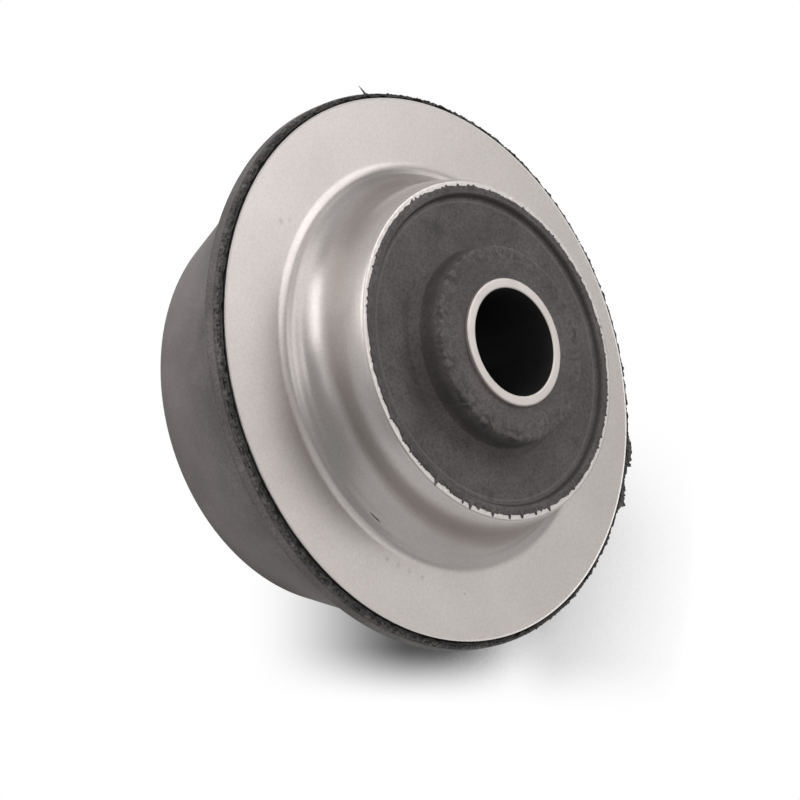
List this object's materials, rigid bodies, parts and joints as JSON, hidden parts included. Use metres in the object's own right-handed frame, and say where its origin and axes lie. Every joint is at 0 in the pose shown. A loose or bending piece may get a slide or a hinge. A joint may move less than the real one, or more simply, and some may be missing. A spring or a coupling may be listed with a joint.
{
  "type": "bonded engine mount",
  "caption": "Round engine mount: a pressed flange plate with a drawn collar, moulded into a rubber load cone round a steel bolt sleeve.",
  "frame": {"origin": "centre of the rear end of the rubber cone and the sleeve, on which the mount stands", "axes": "+Z runs along the bolt sleeve from the rear end to the collar and the boss; the shape is turned about +Z, so +X and +Y are free"},
  "size_m": [0.1106, 0.1106, 0.057],
  "materials": {
    "plate_steel": "pressed sheet steel, blasted to a fine satin grain for bonding",
    "moulded_rubber": "moulded natural rubber, dark grey and semi-matt, with torn flash at the mould joints",
    "sleeve_steel": "precision steel tube with turned ends, satin"
  },
  "bodies": {
    "root": {"flange_plate": "plate_steel", "rubber_body": "moulded_rubber", "inner_sleeve": "sleeve_steel"}
  },
  "joints": []
}
